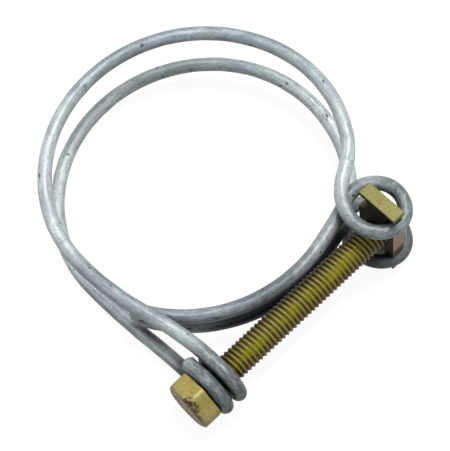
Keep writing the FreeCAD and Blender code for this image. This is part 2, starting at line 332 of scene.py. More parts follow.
@dataclass(frozen=True)
class ZincCoat:
    """Dull hot-dipped zinc on drawn wire: mottled, streaked along the wire, with dark pits, and
    painted shade near the screw, where the runs cross and in gaps.
    """

    light: str = "dee6e6"
    middle: str = "b0b9bb"
    dark: str = "757e82"
    pit_and_gap_shade: str = "1c2022"
    # Colour of the painted shade on the lower strand next to the screw.
    shade: str = "62686b"
    lilac: str = "a2a0b2"
    green: str = "a4b6aa"
    # Painted shade: the first two zones darken the wire towards the screw and round the eyelets;
    # the third darkens it towards its +x, +y, +z side.
    zones: tuple[Zone, ...] = (
        Zone((0.0, -1.0, 0.0), 24.2, 31.5, "aaadaf"),
        Zone((-0.7, -0.7, 0.0), 37.0, 46.0, "cccdce"),
        Zone((0.64, 0.77, 0.6), 6.0, 33.0, "ccd1d4"),
    )
    spots: tuple[Spot, ...] = (
        Spot((10.67, 27.8, 7.41), 0.55, "2b3335", 0.85),
        Spot((-3.86, 29.31, 7.26), 0.6, "4a5355", 0.75),
        Spot((-14.32, 26.37, -4.79), 0.5, "4c5355", 0.8),
        Spot((29.5, 5.2, -5.0), 0.6, "33393b", 0.8),
        Spot((13.87, 25.55, 6.4), 0.6, "4a5355", 0.6),
    )
    # Painted shade: a patch on the lower strand's run near the eyelets, behind the other strand.
    back_strand_shade: Spot = Spot((-30.5, -23.0, -4.5), 6.0, "b0b4b8", 0.7)
    # Painted shade on the runs where the two strands cross: a frayed band across them.
    crossing: Triple = (-0.75, -0.66, 0.0)
    crossing_from: tuple[float, float] = (15.0, 26.0)
    crossing_to: tuple[float, float] = (31.0, 38.0)
    crossing_fray: float = 4.0
    crossing_shade: str = "bfc2c6"
    rubbed: Slope = Slope((0.0, -1.0, 0.0), 20.0, 32.0)
    # Where the painted shade falls: the lower strand next to the screw, deepest along the tongue.
    shade_by_screw: Slope = Slope((0.0, 1.0, 0.0), -23.0, -27.5)
    low: Slope = Slope((0.0, 0.0, 1.0), 1.5, -1.0)
    on_tongue: Slope = Slope((1.0, 0.0, 0.0), 16.0, 11.0)
    metallic: float = 0.28
    gloss: float = 0.3
    patch: float = 1.3
    grain: float = 0.42
    streak: float = 0.55
    streak_stretch: float = 0.08
    ease_stretch: float = 0.45
    spangle: float = 1.1
    stain: float = 9.0
    speck: float = 1.0
    bloom: float = 6.5
    scuff: float = 0.5

    def build(self) -> bpy.types.Material:
        """Build the material.

        Returns:
            The zinc coat.
        """
        graph = Graph(bpy.data.materials.new("zinc_wire"))
        place = graph.stored(STRAIGHT)
        drawn = graph.vector("MULTIPLY", place, (self.streak_stretch, 1.0, 1.0))
        eased = graph.vector("MULTIPLY", place, (self.ease_stretch, 1.0, 1.0))
        patches = graph.noise(eased, self.patch, 4.0, 0.62)
        grain = graph.noise(place, self.grain, 3.0, 0.6)
        streaks = graph.noise(drawn, self.streak, 3.0, 0.6)
        spangle = graph.cells(eased, self.spangle)
        stains = graph.noise(eased, self.stain, 3.0, 0.55).between(0.48, 0.66)
        specks = graph.noise(eased, self.speck, 1.5, 0.45).between(0.69, 0.75)
        bloom = graph.noise(eased, self.bloom, 2.0, 0.5)
        tone = patches * 0.45 + grain * 0.45 + streaks * 0.40 + spangle * 0.08 - 0.19
        base = graph.ramp(tone, (
            (0.26, self.dark), (0.50, self.middle), (0.76, self.light)))
        cool = graph.mix(bloom.between(0.55, 0.68) * 0.25, base, self.lilac)
        tinted = graph.mix(bloom.between(0.45, 0.34) * 0.3, cool, self.green)
        stained_and_shaded = graph.mix(stains * 0.35, tinted, self.dark)
        solid = graph.place()
        # Painted shade from the zones, laid over the stains.
        for zone in self.zones:
            stained_and_shaded = graph.shade(zone.mask(graph, solid), stained_and_shaded, zone.tint)
        rubbed = self.rubbed.rise(graph, solid)
        scuffs = graph.noise(eased, self.scuff, 2.0, 0.6)
        dulled = graph.mix(rubbed * scuffs.between(0.5, 0.68) * 0.28, stained_and_shaded, self.pit_and_gap_shade)
        brightened = graph.mix(
            rubbed * scuffs.between(0.5, 0.36) * 0.12, dulled, self.light)
        pitted = graph.mix(specks * 0.8, brightened, self.pit_and_gap_shade)
        # Painted shade on the run behind the other strand.
        back_strand_shaded = graph.shade(
            self.back_strand_shade.mask(graph, solid, patches * 0.3 + 0.35), pitted, self.back_strand_shade.tint)
        # Painted shade in a frayed band across the runs where the strands cross.
        bearing = graph.vector("DOT_PRODUCT", solid, self.crossing)
        frayed = bearing + (patches - 0.5) * (self.crossing_fray * MM)
        begun, ended = (
            frayed.between(start * MM, full * MM)
            for start, full in (self.crossing_from, self.crossing_to))
        shaded_and_spotted = graph.shade(begun - ended, back_strand_shaded, self.crossing_shade)
        rough = grain * 0.4 + 0.3
        for spot in self.spots:
            shaded_and_spotted = graph.mix(spot.mask(graph, solid, rough), shaded_and_spotted, spot.tint)
        # Painted shade on the lower strand next to the screw, deepest along the tongue.
        hidden = self.shade_by_screw.rise(graph, solid) * self.low.rise(graph, solid)
        on_tongue = self.on_tongue.rise(graph, solid)
        shaded = graph.shade(hidden * (on_tongue * 0.5 + 0.45), shaded_and_spotted, self.shade)
        # Painted shade: gaps and crevices between the wires darkened to the pit colour.
        gap_shaded = graph.mix(graph.occlusion_shade(5.0) * 0.95, shaded, self.pit_and_gap_shade)
        height = patches * 0.4 + grain * 0.4 + streaks * 0.4 - specks * 0.8
        return graph.finish(
            Base_Color=gap_shaded,
            Metallic=self.metallic,
            Specular_IOR_Level=self.gloss,
            Roughness=0.42 + grain * 0.16 + specks * 0.2,
            Normal=graph.bump(height, 0.08, 0.5))


@dataclass(frozen=True)
class ThreadPlate:
    """Yellow plating on a screw thread with painted light: pale crests and dark roots, an olive
    stripe of painted highlight, and painted shade on the sides and in gaps.
    """

    axis_y: float
    crest_radius: float
    root_radius: float
    crest_highlight: str = "8a7e46"
    flank: str = "6c6326"
    root_shade: str = "3a3214"
    blush: str = "775c3a"
    olive: str = "88820a"
    side_shade: str = "b8aa8c"
    gap_shade: str = "0d0b05"
    lit_side: Triple = (0.0, -0.38, 0.92)
    under_side: Triple = (0.0, -0.92, -0.38)
    metallic: float = 0.3
    gloss: float = 0.15

    def build(self) -> bpy.types.Material:
        """Build the material.

        Returns:
            The plated thread.
        """
        graph = Graph(bpy.data.materials.new("yellow_thread"))
        place = graph.place()
        centred = graph.vector("SUBTRACT", place, (0.0, self.axis_y * MM, 0.0))
        across = graph.vector("MULTIPLY", centred, (0.0, 1.0, 1.0))
        rise = graph.vector("LENGTH", across).between(self.root_radius * MM, self.crest_radius * MM)
        grain = graph.noise(place, 0.3, 3.0, 0.6)
        cloud = graph.noise(place, 3.5, 3.0, 0.55)
        aim = graph.vector("NORMALIZE", across)
        lit_facing, under = (
            graph.vector("DOT_PRODUCT", aim, side) + cloud * 0.5 - 0.25
            for side in (self.lit_side, self.under_side))
        # Painted light: the roots are shaded dark and the crests lit pale.
        plated = graph.ramp(rise + grain * 0.3 - 0.15, (
            (0.05, self.root_shade), (0.45, self.flank), (0.95, self.crest_highlight)))
        # Painted shade: the sides turned away from the lit top are darkened.
        dulled = graph.shade(lit_facing.between(0.85, 0.35), plated, self.side_shade)
        # Painted highlight: an olive stripe along the lit top of the screw.
        highlighted = graph.mix(lit_facing.between(0.88, 1.10) * 0.85, dulled, self.olive)
        # Pinkish brown on the crests of the under side: a plating tint that also paints them darker
        # as shade.
        blushed = graph.mix(under.between(0.1, 0.8) * rise * 0.6, highlighted, self.blush)
        # Painted shade: the thread darkened in gaps near the band and nut.
        gap_shaded = graph.mix(graph.occlusion_shade(5.0) * 0.85, blushed, self.gap_shade)
        return graph.finish(
            Base_Color=gap_shaded,
            Metallic=self.metallic,
            Specular_IOR_Level=self.gloss,
            Roughness=0.5 - rise * 0.15 + grain * 0.12,
            Normal=graph.bump(grain, 0.05, 0.5))


@dataclass(frozen=True)
class PlainPlate:
    """Yellow plating on plain faces: gold and olive clouds, a lilac bloom, dark stains and painted
    shade in gaps.
    """

    name: str
    gold: str
    olive: str
    bloom: str
    stain: str
    zones: tuple[Zone, ...] = ()
    spots: tuple[Spot, ...] = ()
    worn: bool = False
    cone: str = "8c7a62"
    face: str = "66482a"
    veil: str = "98876f"
    chip: str = "b9b08c"
    gap_shade: str = "0d0b06"
    metallic: float = 0.25
    gloss: float = 0.3
    bloom_share: float = 0.6
    stain_low: float = 0.60
    haze_shift: Triple = (0.013, 0.007, 0.021)
    dirt_shift: Triple = (0.031, 0.002, 0.011)
    smut_shift: Triple = (0.003, 0.017, 0.009)

    def build(self) -> bpy.types.Material:
        """Build the material.

        Returns:
            The plated finish.
        """
        graph = Graph(bpy.data.materials.new(self.name))
        place = graph.place()
        cloud = graph.noise(place, 3.2, 4.0, 0.6)
        haze = graph.noise(graph.vector("ADD", place, self.haze_shift), 5.5, 3.0, 0.5)
        grain = graph.noise(place, 0.28, 3.0, 0.6)
        dirt = graph.noise(graph.vector("ADD", place, self.dirt_shift), 1.9, 4.0, 0.65)
        smut = graph.noise(graph.vector("ADD", place, self.smut_shift), 0.8, 3.0, 0.6)
        base = graph.mix(cloud.between(0.36, 0.66), self.gold, self.olive)
        zoned = graph.mix(haze.between(0.46, 0.68) * self.bloom_share, base, self.bloom)
        # Zones: plating tints and, on the nut, painted shade.
        for zone in self.zones:
            zoned = graph.mix(zone.mask(graph, place), zoned, zone.tint)
        if self.worn:
            zoned = self.wear(graph, zoned, dirt)
        grainy = graph.mix(grain.between(0.42, 0.75) * 0.45, zoned, self.stain)
        stained = graph.mix(
            dirt.between(self.stain_low, self.stain_low + 0.1) * 0.7, grainy, self.stain)
        for spot in self.spots:
            stained = graph.mix(spot.mask(graph, place, smut), stained, spot.tint)
        # Painted shade: faces darkened in gaps and corners.
        gap_shaded = graph.mix(graph.occlusion_shade(5.0) * 0.95, stained, self.gap_shade)
        return graph.finish(
            Base_Color=gap_shaded,
            Metallic=self.metallic,
            Specular_IOR_Level=self.gloss,
            Roughness=0.42 + grain * 0.2 + dirt * 0.1,
            Normal=graph.bump(grain * 0.6 + cloud * 0.4, 0.06, 0.5))

    def wear(self, graph: Graph, plated: Term, dirt: Term) -> Term:
        """Browned chamfer and outer face, and edges rubbed pale.

        Args:
            graph: The material's graph.
            plated: Colour of the plating.
            dirt: Noise that breaks up the wear.

        Returns:
            The worn colour.
        """
        regions = graph.stored(REGIONS)
        edge, cone, face = (graph.axis(regions, name) for name in "XYZ")
        veil = graph.mix(dirt.between(0.42, 0.58), self.veil, self.face)
        browned = graph.mix(cone * 0.8, plated, self.cone)
        darker = graph.mix(face * 0.9, browned, veil)
        return graph.mix(edge * dirt.between(0.60, 0.42) * 0.5, darker, self.chip)


def ease(share: float) -> float:
    """Smooth step from 0 to 1."""
    held = min(max(share, 0.0), 1.0)
    return held * held * (3.0 - 2.0 * held)


def blend(first: float, second: float, share: float) -> float:
    """Value a share of the way from the first to the second."""
    return first + (second - first) * share


def unit(vector: Point) -> Point:
    """The vector at length 1."""
    return vector / np.linalg.norm(vector)


def distances(line: Point) -> np.ndarray:
    """Distance of each point along the line through all of them."""
    return np.concatenate([[0.0], np.cumsum(np.linalg.norm(np.diff(line, axis=0), axis=1))])


def tangent_arc(start: Point, travel: Point, end: Point, count: int) -> Point:
    """Points of the arc from start to end that sets off along a unit direction.

    Args:
        start: First point.
        travel: Unit direction at the first point.
        end: Last point.
        count: How many points to give.

    Returns:
        The points, with both ends among them.
    """
    chord = end - start
    span = float(np.linalg.norm(chord))
    along = chord / span
    aside = travel - along * float(travel @ along)
    lean = float(np.linalg.norm(aside))
    if lean < 1e-6:
        return start + np.linspace(0.0, 1.0, count)[:, None] * chord
    half = math.asin(min(lean, 1.0))
    outward = aside / lean
    radius = span / 2.0 / math.sin(half)
    centre = start + chord / 2.0 - outward * radius * math.cos(half)
    turn = np.linspace(-half, half, count)[:, None]
    return centre + radius * (np.cos(turn) * outward + np.sin(turn) * along)


def two_arcs(start: Point, travel: Point, end: Point, arrival: Point, count: int) -> Point:
    """Points of two arcs in line with each other that join two directed points.

    Args:
        start: First point.
        travel: Unit direction at the first point.
        end: Last point.
        arrival: Unit direction at the last point.
        count: How many points each arc gives.

    Returns:
        The points from start to end.
    """
    gap = end - start
    both = travel + arrival
    bend = 1.0 - float(travel @ arrival)
    if bend < 1e-9:
        lead = float(gap @ gap) / (2.0 * float(gap @ both))
    else:
        reach = float(gap @ both)
        lead = (math.sqrt(reach * reach + 2.0 * bend * float(gap @ gap)) - reach) / (2.0 * bend)
    knee = (start + travel * lead + end - arrival * lead) / 2.0
    middle = unit(knee - start - travel * lead)
    first = tangent_arc(start, travel, knee, count)
    return np.concatenate([first[:-1], tangent_arc(knee, middle, end, count)])


def stations(curve: Callable[[float], Point], steps: int) -> list[tuple[Point, Point]]:
    """Evenly spaced points of a curve over 0 to 1, each with its unit direction."""
    shares = np.linspace(0.0, 1.0, steps + 1)
    return [(curve(share), unit(curve(share + TINY) - curve(share - TINY))) for share in shares]


def polar(radius: float, degrees: float, height: float, centre: tuple[float, float]) -> Point:
    """Point on a level circle about a centre."""
    angle = math.radians(degrees)
    return np.array([
        centre[0] + radius * math.cos(angle), centre[1] + radius * math.sin(angle), height])


@dataclass(frozen=True)
class Stretch:
    """Points of one stretch of the wire and how far each follows the nut."""

    points: Point
    follow: np.ndarray

    def turned_round(self) -> "Stretch":
        """The same stretch from its other end."""
        return Stretch(self.points[::-1], self.follow[::-1])


@dataclass(frozen=True)
class Screw:
    """Hexagon head screw: its head, rolled thread and chamfered end."""

    head_x: float = -30.75
    axis_y: float = -34.2
    radius: float = 3.0
    length: float = 50.0
    pitch: float = 1.0
    thread_depth: float = 0.33
    crest_share: float = 0.12
    root_share: float = 0.82
    runout_from: float = 0.2
    runout: float = 1.2
    end_chamfer: float = 0.6
    end_face: float = 2.35
    across_flats: float = 10.0
    corner_radius: float = 5.62
    head_height: float = 4.1
    head_face: float = 4.4
    chamfer_angle: float = 30.0
    turn_angle: float = 13.0
    softness: float = 0.09
    face_depth: float = 0.2
    face_fade: float = 0.3
    cone_fade: float = 0.15
    corner_wear: float = 0.22
    rim_wear: float = 0.4
    dish: float = 0.12
    around: int = 72
    rows_per_pitch: int = 12
    spots: tuple[Spot, ...] = (
        Spot((-34.2, -35.3, 5.0), 1.3, "15100a", 0.95),
        Spot((-34.2, -36.8, 4.2), 1.2, "241a0e", 0.8),
        Spot((-34.7, -34.6, 4.0), 1.5, "5b3a1e", 0.7),
        Spot((-34.7, -37.2, 2.4), 1.8, "2e2010", 0.7),
    )

    def head_limits(self, degrees: np.ndarray, depth: float) -> tuple[Point, Point, Point]:
        """Reach of the head's flats, of its rounded corners and of its chamfer.

        Args:
            degrees: Angles about the axis.
            depth: Distance from the head's outer face.

        Returns:
            The three reaches at each angle.
        """
        aside = (degrees - 90.0 - self.turn_angle + 30.0) % 60.0 - 30.0
        flat = self.across_flats / 2.0 / np.cos(np.radians(30.0 - np.abs(aside)))
        cone = self.head_face + depth / math.tan(math.radians(self.chamfer_angle))
        return flat, np.full_like(flat, self.corner_radius), np.full_like(flat, cone)

    def head_radius(self, degrees: np.ndarray, depth: float) -> np.ndarray:
        """Reach of the head's surface from the screw's axis, softened between its limits."""
        total = sum(np.exp(-limit / self.softness) for limit in self.head_limits(degrees, depth))
        return self.softness * (0.1 - np.log(total))

    def regions(self, x: float, reach: np.ndarray) -> np.ndarray:
        """Where a ring of the surface lies on an edge, on the chamfer and on the outer face.

        Args:
            x: Distance from the head's bearing face.
            reach: Reach of the ring at each angle.

        Returns:
            The three masks at each angle, all 0 on the shank.
        """
        masks = np.zeros((len(reach), 3))
        if x > 0.0:
            return masks
        depth = x + self.head_height
        flat, corner, cone = self.head_limits(self.angles(), depth)
        side = np.minimum(flat, corner)
        on_face = np.zeros_like(reach)
        if depth < self.face_depth:
            on_face = np.clip((self.head_face - reach) / self.face_fade, 0.0, 1.0)
        to_corner = np.abs(flat - self.across_flats / 2.0 / math.cos(math.radians(30.0)))
        along_corner = to_corner / self.corner_wear + np.clip(cone - side, -9.0, 0.0) ** 2
        near = np.minimum(along_corner, np.abs(cone - side) / self.rim_wear)
        masks[:, 0] = np.clip(1.0 - near, 0.0, 1.0) * (1.0 - on_face)
        masks[:, 1] = np.clip((side - cone) / self.cone_fade, 0.0, 1.0) * (1.0 - on_face)
        masks[:, 2] = on_face
        return masks

    def thread_radius(self, degrees: np.ndarray, x: float) -> np.ndarray:
        """Reach of the thread's surface from the screw's axis.

        Args:
            degrees: Angles about the axis.
            x: Distance from the head's bearing face.

        Returns:
            The reach at each angle.
        """
        phase = (x / self.pitch - degrees / 360.0) % 1.0
        aside = np.abs(2.0 * phase - 1.0)
        dip = np.clip((aside - self.crest_share) / (self.root_share - self.crest_share), 0.0, 1.0)
        cut = self.thread_depth * dip * ease((x - self.runout_from) / self.runout)
        limit = self.end_face + (self.length - x) * (self.radius - self.end_face) / self.end_chamfer
        return np.minimum(self.radius - cut, limit)

    def rings(self) -> Iterable[tuple[float, np.ndarray]]:
        """Rings of the surface from the middle of the head's face to the middle of the end.

        Yields:
            Place along the screw and reach at each angle.
        """
        degrees = self.angles()
        full = np.ones_like(degrees)
        edge = self.head_radius(degrees, 0.0)
        sinks = (self.dish, self.dish, self.dish, self.dish / 3.0, 0.0)
        for share, sink in zip((0.2, 0.5, 0.72, 0.84, 0.92), sinks):
            yield -self.head_height + sink, edge * share
        for depth in np.concatenate([np.linspace(0.0, 0.9, 19), np.linspace(1.1, 3.95, 9)]):
            yield -self.head_height + float(depth), self.head_radius(degrees, float(depth))
        last = self.head_radius(degrees, self.head_height)
        yield -0.05, last - 0.03
        yield 0.0, last - 0.12
        yield 0.0, blend(self.radius, self.across_flats / 2.0, 0.5) * full
        rows = int(self.length / self.pitch) * self.rows_per_pitch
        for row in range(rows + 1):
            x = self.length * row / rows
            yield x, self.thread_radius(degrees, x)
        for share, sink in ((0.8, 0.0), (0.4, 0.12), (0.15, 0.2)):
            yield self.length - sink, self.end_face * share * full

    def angles(self) -> np.ndarray:
        """Angles of the surface's columns, with one on each corner of the head."""
        return 90.0 + self.turn_angle + np.arange(self.around) * 360.0 / self.around

    def build(self) -> bpy.types.Object:
        """Build the screw's mesh and dress it.

        Returns:
            The screw.
        """
        turn = np.radians(self.angles())
        rows, masks = [], []
        for x, reach in self.rings():
            rows.append(np.stack([
                np.full_like(turn, self.head_x + x),
                self.axis_y + reach * np.cos(turn), reach * np.sin(turn)], axis=-1))
            masks.append(self.regions(x, reach))
        piece = lathed_piece("hex_screw", np.array(rows))
        ends = np.array([[0.0, 0.0, 1.0], [0.0, 0.0, 0.0]])
        store(piece, REGIONS, np.concatenate([np.concatenate(masks), ends]))
        head = PlainPlate(
            "yellow_head", gold="9d8f4e", olive="8b8236", bloom="978a66", stain="4a3c26",
            spots=self.spots, worn=True)
        thread = ThreadPlate(self.axis_y, self.radius, self.radius - self.thread_depth)
        piece.data.materials.append(head.build())
        piece.data.materials.append(thread.build())
        middles = np.zeros(len(piece.data.polygons) * 3)
        piece.data.polygons.foreach_get("center", middles)
        on_shank = middles[0::3] > (self.head_x + 0.01) * MM
        piece.data.polygons.foreach_set("material_index", on_shank.astype(np.int32))
        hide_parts("hex_bolt")
        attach(piece, Body.SCREW.value)
        return piece


def store(piece: bpy.types.Object, name: str, vectors: np.ndarray) -> None:
    """Store a vector at every point of a piece, for its finish to read.

    Args:
        piece: The piece.
        name: Name of the attribute.
        vectors: One vector a point.
    """
    made = piece.data.attributes.new(name, "FLOAT_VECTOR", "POINT")
    made.data.foreach_set("vector", vectors.astype(np.float32).ravel())


def linked(name: str, data: bpy.types.ID) -> bpy.types.Object:
    """Make an object of the data and link it to the scene.

    Args:
        name: Name of the object.
        data: Mesh, lamp or lens.

    Returns:
        The object.
    """
    made = bpy.data.objects.new(name, data)
    bpy.context.scene.collection.objects.link(made)
    return made


def lathed_piece(name: str, rows: Point) -> bpy.types.Object:
    """Mesh through closed rows of points, with a middle point that closes each end.

    Args:
        name: Name of the piece.
        rows: Points in millimetres, as rows, columns and coordinates.

    Returns:
        The piece, linked to the scene.
    """
    count, around, _ = rows.shape
    points = np.concatenate([
        rows.reshape(-1, 3), rows[:1].mean(axis=1), rows[-1:].mean(axis=1)]) * MM
    column = np.arange(around)
    onward = (column + 1) % around
    faces: list[list[int]] = []
    for row in range(count - 1):
        here, there = row * around, (row + 1) * around
        faces += np.stack([
            here + column, here + onward, there + onward, there + column], axis=-1).tolist()
    first, last = count * around, count * around + 1
    end = (count - 1) * around
    faces += np.stack([np.full_like(column, first), onward, column], axis=-1).tolist()
    faces += np.stack([np.full_like(column, last), end + column, end + onward], axis=-1).tolist()
    mesh = bpy.data.meshes.new(name)
    mesh.from_pydata(points.tolist(), [], faces)
    mesh.validate()
    mesh.shade_smooth()
    mesh.set_sharp_from_angle(angle=math.radians(SHARP_EDGE))
    return linked(name, mesh)


@dataclass(frozen=True)
class WireBand:
    """One round wire bent into two strands: eyelets round the screw, the ring and the nut loops."""

    wire_radius: float = 1.5
    skin: float = 0.012
    unevenness: float = 0.05
    waves: int = 26
    seed: int = 7
    ring_radius: float = 30.5
    ring_height: float = 6.15
    splay_angle: float = 35.0
    leave_angle: float = 26.0
    screw_y: float = -34.2
    eyelet_radius: float = 4.65
    upper_eyelet_x: float = -25.5
    lower_eyelet_x: float = -29.0
    upper_wrap: float = 280.0
    lower_wrap: float = 192.0
    lower_tail: float = 4.8
    end_rounding: float = 0.5
    nut_x: float = 17.65
    nut_neck: float = 4.8
    nut_thickness: float = 3.0
    neck_clearance: float = 0.2
    loop_length: float = 9.8
    loop_width: float = 7.6
    loop_height: float = 7.35
    loop_start: float = 218.0
    loop_turn: float = 313.0
    loop_level: float = 165.0
    lower_shift: float = 0.4
    crossing_gap: float = 1.05
    tongue_start: float = 13.8
    tongue_end: float = 149.5
    tongue_centre: tuple[float, float] = (-1.3, 0.3)
    tip_height: float = 2.35
    follow_from: float = 170.0
    splay_follow: Triple = (0.45, 0.72, 0.9)
    tip_follow: float = 0.2
    row_step: float = 0.55
    around: int = 32

    def eyelet_x(self, side: Side) -> float:
        """Place along the screw of a strand's eyelet."""
        return self.upper_eyelet_x if side is Side.UPPER else self.lower_eyelet_x

    @property
    def root_height(self) -> float:
        """Height of the wire where it passes under its own loop."""
        return self.loop_height - 2.0 * self.wire_radius - self.crossing_gap

    @property
    def loop_centre(self) -> tuple[float, float]:
        """Middle of the oval round the nut's neck."""
        bow = math.sqrt(1.0 - (self.nut_thickness / self.loop_width) ** 2)
        side = self.screw_y - self.nut_neck / 2.0 - self.neck_clearance
        return self.nut_x, side + self.loop_length / 2.0 * bow

    @property
    def bearing(self) -> float:
        """Bearing of the nut loops from the hose axis, in degrees."""
        x, y = self.loop_centre
        return math.degrees(math.atan2(y, x))

    def eyelet(self, side: Side) -> Stretch:
        """Cut end and turn round the screw, up to where the strand leaves it.

        Args:
            side: Which strand.

        Returns:
            The stretch from the cut end on.
        """
        sign = side.value
        upper = side is Side.UPPER
        wrap = self.upper_wrap if upper else self.lower_wrap
        turn = np.radians(np.linspace(wrap, 0.0, 60))
        points = np.stack([
            np.full_like(turn, self.eyelet_x(side)),
            self.screw_y - self.eyelet_radius * np.sin(turn),
            sign * self.eyelet_radius * np.cos(turn)], axis=-1)
        if not upper:
            onward = np.array([0.0, -math.cos(turn[0]), -sign * math.sin(turn[0])])
            tail = points[0] + onward * np.linspace(self.lower_tail, 0.0, 12)[:, None]
            points = np.concatenate([tail, points])
        return Stretch(points, np.zeros(len(points)))

    def ring(self, side: Side) -> Stretch:
        """Run from the eyelet to the ring, and the ring up to where the strands spread.

        Args:
            side: Which strand.

        Returns:
            The stretch.
        """
        sign = side.value
        up = np.array([0.0, 1.0, 0.0])
        centre = (0.0, 0.0)
        start = np.array([self.eyelet_x(side), self.screw_y, sign * self.eyelet_radius])
        side_point = polar(self.ring_radius, 180.0, sign * self.ring_height, centre)
        run = two_arcs(start, up, side_point, up, 24)
        degrees = np.linspace(180.0, self.splay_angle, 120)
        arc = np.array([
            polar(self.ring_radius, angle, sign * self.ring_height, centre) for angle in degrees])
        bent = self.follow_from - self.splay_angle
        follow = np.array([
            self.splay_follow[0] * ease((self.follow_from - angle) / bent) for angle in degrees])
        return Stretch(
            np.concatenate([run, arc]), np.concatenate([np.zeros(len(run)), follow]))

    def nut_end(self, side: Side) -> Stretch:
        """Strand from the ring, round one notch of the nut, to the tongue's tip.

        Args:
            side: Which strand.

        Returns:
            The stretch.
        """
        sign = side.value
        middle_x, middle_y = self.loop_centre
        middle_x += self.lower_shift if side is Side.LOWER else 0.0
        half_x = self.loop_width / 2.0 + self.wire_radius
        half_y = self.loop_length / 2.0 + self.wire_radius

        def splay(share: float) -> Point:
            """Point of the strand as it spreads towards the nut."""
            angle = blend(self.splay_angle, self.bearing + self.leave_angle, share)
            height = blend(self.ring_height, self.loop_height, ease(share))
            return polar(self.ring_radius, angle, sign * height, (0.0, 0.0))

        def loop(share: float) -> Point:
            """Point of the oval round the nut's neck."""
            turn = self.loop_turn * share
            fall = ease((turn - self.loop_level) / (self.loop_turn - self.loop_level))
            angle = math.radians(self.bearing + self.loop_start + turn)
            height = blend(self.loop_height, self.root_height, fall)
            return np.array([
                middle_x + half_x * math.cos(angle), middle_y + half_y * math.sin(angle),
                sign * height])

        def tongue(share: float) -> Point:
            """Point of the tongue that bridges the gap under the screw."""
            angle = blend(self.bearing - self.tongue_start, -self.tongue_end, share)
            height = blend(self.root_height, self.tip_height, ease(share))
            return polar(self.ring_radius, angle, sign * height, self.tongue_centre)

        marks = stations(splay, 2) + stations(loop, 5) + stations(tongue, 2)
        halfway = blend(self.tip_follow, 1.0, 0.6)
        follows = [*self.splay_follow, *[1.0] * 7, halfway, self.tip_follow]
        points: list[Point] = []
        follow: list[np.ndarray] = []
        for number in range(len(marks) - 1):
            arc = two_arcs(*marks[number], *marks[number + 1], 12)
            points.append(arc[1:])
            follow.append(np.linspace(follows[number], follows[number + 1], len(arc))[1:])
        return Stretch(np.concatenate(points), np.concatenate(follow))

    def fold(self) -> Stretch:
        """Half circle that joins both wires at the tongue's tip."""
        tip = polar(self.ring_radius, -self.tongue_end, 0.0, self.tongue_centre)
        angle = math.radians(-self.tongue_end)
        onward = np.array([math.sin(angle), -math.cos(angle), 0.0])
        turn = np.linspace(0.0, math.pi, 24)[1:-1, None]
        rise = np.array([0.0, 0.0, 1.0])
        points = tip + self.tip_height * (np.sin(turn) * onward + np.cos(turn) * rise)
        return Stretch(points, np.full(len(points), self.tip_follow))

    def route(self) -> Stretch:
        """Centreline of the whole wire from one cut end to the other, evenly spaced."""
        upper, lower = (
            [self.eyelet(side), self.ring(side), self.nut_end(side)] for side in Side)
        parts = [*upper, self.fold(), *(part.turned_round() for part in reversed(lower))]
        joined = np.concatenate([part.points for part in parts])
        weight = np.concatenate([part.follow for part in parts])
        reach = distances(joined)
        kept = np.diff(reach, prepend=-1.0) > 1e-6
        reach, joined, weight = reach[kept], joined[kept], weight[kept]
        even = np.linspace(0.0, reach[-1], int(reach[-1] / self.row_step) + 1)
        spaced = np.stack([np.interp(even, reach, joined[:, axis]) for axis in range(3)], axis=-1)
        return Stretch(spaced, np.interp(even, reach, weight))

    def waviness(self, along: np.ndarray, turn: np.ndarray) -> np.ndarray:
        """Uneven thickness of the zinc, as a depth below the full radius.

        Args:
            along: Place along the wire, in millimetres.
            turn: Angle round the wire.

        Returns:
            The depth, from 0 to 1.
        """
        seeded = np.random.default_rng(self.seed)
        total = np.zeros(np.broadcast(along, turn).shape)
        for _ in range(self.waves):
            wave = seeded.uniform(0.12, 1.6)
            turns = int(seeded.integers(-3, 4))
            total += np.sin(wave * along + turns * turn + seeded.uniform(0.0, 6.28))
        return np.clip(0.5 + total / math.sqrt(self.waves) * 0.28, 0.0, 1.0)

    def build(self) -> bpy.types.Object:
        """Build the band's mesh and dress it.

        Returns:
            The band.
        """
        route = self.route()
        line = route.points
        travel = np.gradient(line, axis=0)
        travel /= np.linalg.norm(travel, axis=1)[:, None]
        aside = np.zeros_like(line)
        current = np.array([1.0, 0.0, 0.0])
        for row, direction in enumerate(travel):
            current = unit(current - direction * float(current @ direction))
            aside[row] = current
        up = np.cross(travel, aside)
        along = distances(line)
        turn = np.arange(self.around) * 2.0 * math.pi / self.around
        sunk = self.waviness(along[:, None], turn[None, :])
        reach = self.wire_radius - self.skin - self.unevenness * sunk
        from_end = np.minimum(along, along[-1] - along)
        corner = np.clip(1.0 - from_end / self.end_rounding, 0.0, 1.0)
        reach = reach - (self.end_rounding * (1.0 - np.sqrt(1.0 - corner * corner)))[:, None]
        ring = (
            np.cos(turn)[None, :, None] * aside[:, None, :]
            + np.sin(turn)[None, :, None] * up[:, None, :])
        rows = line[:, None, :] + reach[:, :, None] * ring
        piece = lathed_piece("wire_band_dressed", rows)
        straight = np.stack([
            np.broadcast_to(along[:, None], reach.shape),
            reach * np.cos(turn), reach * np.sin(turn)], axis=-1).reshape(-1, 3)
        ends = np.array([[along[0], 0.0, 0.0], [along[-1], 0.0, 0.0]])
        store(piece, STRAIGHT, np.concatenate([straight, ends]) * MM)
        piece.data.materials.append(ZincCoat().build())
        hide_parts("wire_band")
        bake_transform(piece)
        # The share by which each point follows the nut is worked out along the wire; nothing here
        # uses it.
        follow = np.repeat(route.follow, self.around)
        follow = np.concatenate([follow, route.follow[[0, -1]]])
        return piece


